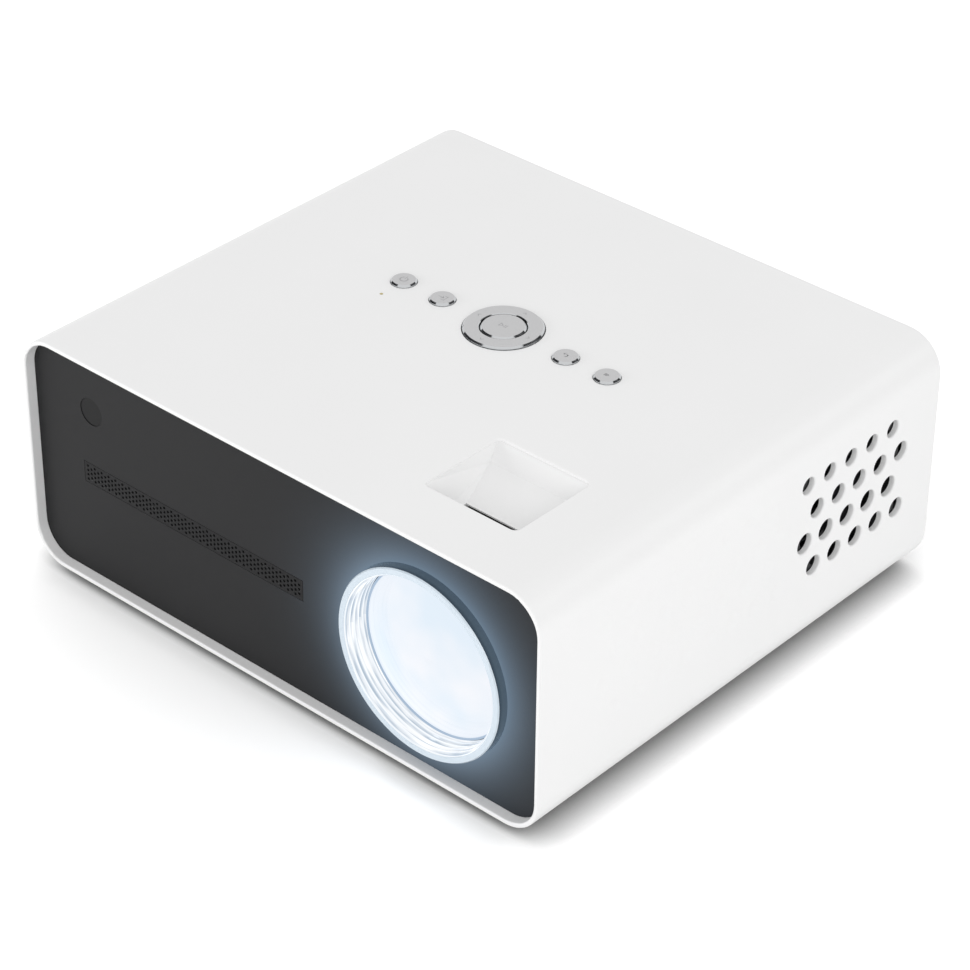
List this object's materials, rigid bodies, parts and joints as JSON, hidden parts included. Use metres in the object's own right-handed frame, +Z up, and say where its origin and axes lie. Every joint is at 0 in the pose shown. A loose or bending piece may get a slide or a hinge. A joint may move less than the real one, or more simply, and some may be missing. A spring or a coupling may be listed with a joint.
{
  "type": "projector with disc player",
  "caption": "Box-shaped white home projector with dark front, round lens, top keys, focus recess, side vents and a slide-out disc tray.",
  "frame": {"origin": "centre of the floor plane that the four rubber feet stand on, under the middle of the casing", "axes": "+Z up; the lens looks along -Y; +X towards the lens side, with the vents; the disc tray slides out along -X"},
  "size_m": [0.25, 0.22, 0.1022],
  "materials": {
    "shell_white": "fine moulded ABS, light satin",
    "panel_black": "dark grey moulded panel, satin",
    "grille_black": "perforated, satin",
    "window_smoke": "polished, infrared clear",
    "ring_white": "glossy pale plastic",
    "lens_glass": "coated, polished",
    "optic_acrylic": "grooved acrylic sheet",
    "lcd_glass": "dark panel glass",
    "key_satin": "satin silver paint, bright chamfer",
    "foot_rubber": "moulded rubber",
    "insert_brass": "turned brass",
    "screw_steel": "zinc plated",
    "board_green": "solder mask",
    "part_black": "moulded epoxy and nylon",
    "can_aluminium": "sleeved can",
    "core_ferrite": "ferrite core",
    "socket_steel": "nickel plated",
    "engine_grey": "glass filled plastic",
    "sink_aluminium": "extruded, bare",
    "lamp_copper": "white solder mask on copper core",
    "chassis_grey": "moulded ABS",
    "drive_steel": "galvanised sheet",
    "tray_black": "moulded tray",
    "bezel_white": "moulded ABS, light satin",
    "speaker_metal": "black painted basket",
    "light_guide": "clear light guide"
  },
  "bodies": {
    "housing": {"outer_shell": "shell_white", "front_panel": "panel_black", "front_grille": "grille_black", "ir_window": "window_smoke", "ir_sensor": "part_black", "lens_trim_ring": "ring_white", "rear_panel": "panel_black", "base_cover": "panel_black", "chassis_plate": "chassis_grey", "rubber_feet": "foot_rubber", "tripod_insert": "insert_brass", "case_screws": "screw_steel", "inner_screws": "screw_steel", "key_board": "board_green", "key_switches": "part_black", "status_light": "light_guide", "engine_case": "engine_grey", "lens_mount": "engine_grey", "led_lamp": "lamp_copper", "heat_sink": "sink_aluminium", "condenser_lens": "lens_glass", "fresnel_lenses": "optic_acrylic", "lcd_panel": "lcd_glass", "fan_frame": "part_black", "main_board": "board_green", "power_board": "board_green", "board_chips": "part_black", "capacitors": "can_aluminium", "transformer": "core_ferrite", "hdmi_socket": "socket_steel", "usb_sockets": "socket_steel", "audio_jacks": "part_black", "power_inlet": "part_black", "speakers": "speaker_metal", "drive_chassis": "drive_steel", "drive_lid": "drive_steel", "drive_board": "board_green"},
    "tray": {"disc_tray": "tray_black", "tray_bezel": "bezel_white", "drive_motors": "drive_steel", "guide_rods": "screw_steel"},
    "rails": {"slide_rails": "drive_steel"},
    "turntable_disc": {"turntable": "tray_black"},
    "pickup": {"laser_pickup": "sink_aluminium"},
    "sled_screw": {"lead_screw": "screw_steel"},
    "eject_key": {"eject_button": "bezel_white"},
    "power_key": {"power_button": "key_satin"},
    "source_key": {"source_button": "key_satin"},
    "back_key": {"back_button": "key_satin"},
    "menu_key": {"menu_button": "key_satin"},
    "nav_pivot": {"nav_pivot_ring": "part_black"},
    "nav_key": {"nav_ring": "key_satin"},
    "ok_key": {"ok_button": "key_satin"},
    "focus_wheel": {"focus_ring": "grille_black"},
    "barrel": {"lens_barrel": "part_black", "front_lens": "lens_glass", "rear_lenses": "lens_glass"},
    "fan": {"fan_rotor": "part_black"},
    "foot_pad_body": {"foot_pad": "foot_rubber"},
    "foot_stud": {"foot_screw": "part_black"}
  },
  "joints": [
    {"name": "tray_slide", "type": "slide", "parent": "housing", "child": "tray", "axis": [-1, 0, 0], "range_m": [0, 0.122]},
    {"name": "rail_slide", "type": "slide", "parent": "housing", "child": "rails", "axis": [-1, 0, 0], "range_m": [0, 0.061]},
    {"name": "disc_spin", "type": "hinge", "parent": "tray", "child": "turntable_disc", "pos_m": [-0.06, 0.02, 0.064], "axis": [0, 0, 1], "continuous": true},
    {"name": "pickup_slide", "type": "slide", "parent": "tray", "child": "pickup", "axis": [1, 0, 0], "range_m": [0, 0.033]},
    {"name": "sled_screw_turn", "type": "hinge", "parent": "tray", "child": "sled_screw", "pos_m": [-0.02, 0.042, 0.062], "axis": [-1, 0, 0], "range_deg": [0, 3965]},
    {"name": "eject_press", "type": "slide", "parent": "tray", "child": "eject_key", "axis": [1, 0, 0], "range_m": [0, 0.0006], "stiffness_N_per_m": 800},
    {"name": "power_press", "type": "slide", "parent": "housing", "child": "power_key", "axis": [0, 0, -1], "range_m": [0, 0.0005], "stiffness_N_per_m": 1500},
    {"name": "source_press", "type": "slide", "parent": "housing", "child": "source_key", "axis": [0, 0, -1], "range_m": [0, 0.0005], "stiffness_N_per_m": 1500},
    {"name": "back_press", "type": "slide", "parent": "housing", "child": "back_key", "axis": [0, 0, -1], "range_m": [0, 0.0005], "stiffness_N_per_m": 1500},
    {"name": "menu_press", "type": "slide", "parent": "housing", "child": "menu_key", "axis": [0, 0, -1], "range_m": [0, 0.0005], "stiffness_N_per_m": 1500},
    {"name": "ok_press", "type": "slide", "parent": "housing", "child": "ok_key", "axis": [0, 0, -1], "range_m": [0, 0.0005], "stiffness_N_per_m": 1500},
    {"name": "nav_tilt_front", "type": "hinge", "parent": "housing", "child": "nav_pivot", "pos_m": [0.0028, 0.0088, 0.0962], "axis": [1, 0, 0], "range_deg": [-1.8, 1.8], "stiffness_Nm_per_rad": 1},
    {"name": "nav_tilt_side", "type": "hinge", "parent": "nav_pivot", "child": "nav_key", "pos_m": [0.0028, 0.0088, 0.0962], "axis": [0, 1, 0], "range_deg": [-1.8, 1.8], "stiffness_Nm_per_rad": 1},
    {"name": "lens_slide", "type": "slide", "parent": "housing", "child": "barrel", "axis": [0, 1, 0], "range_m": [-0.0025, 0.0025]},
    {"name": "focus_turn", "type": "hinge", "parent": "housing", "child": "focus_wheel", "pos_m": [0.0703, -0.0774, 0.0489], "axis": [0, 1, 0], "range_deg": [-75.2, 75.2]},
    {"name": "fan_spin", "type": "hinge", "parent": "housing", "child": "fan", "pos_m": [0.115, 0.0607, 0.05758], "axis": [1, 0, 0], "continuous": true},
    {"name": "foot_height", "type": "slide", "parent": "housing", "child": "foot_pad_body", "axis": [0, 0, -1], "range_m": [0, 0.012]},
    {"name": "foot_turn", "type": "hinge", "parent": "foot_pad_body", "child": "foot_stud", "pos_m": [0, -0.0915, 0.01], "axis": [0, 0, -1], "range_deg": [0, 2884]}
  ],
  "couplings": [
    {"joint": "rail_slide", "follows": "tray_slide", "ratio": 0.5},
    {"joint": "sled_screw_turn", "follows": "pickup_slide", "rad_per_m": 2094.4},
    {"joint": "focus_turn", "follows": "lens_slide", "rad_per_m": 523.6},
    {"joint": "foot_turn", "follows": "foot_height", "rad_per_m": 4188.8}
  ]
}
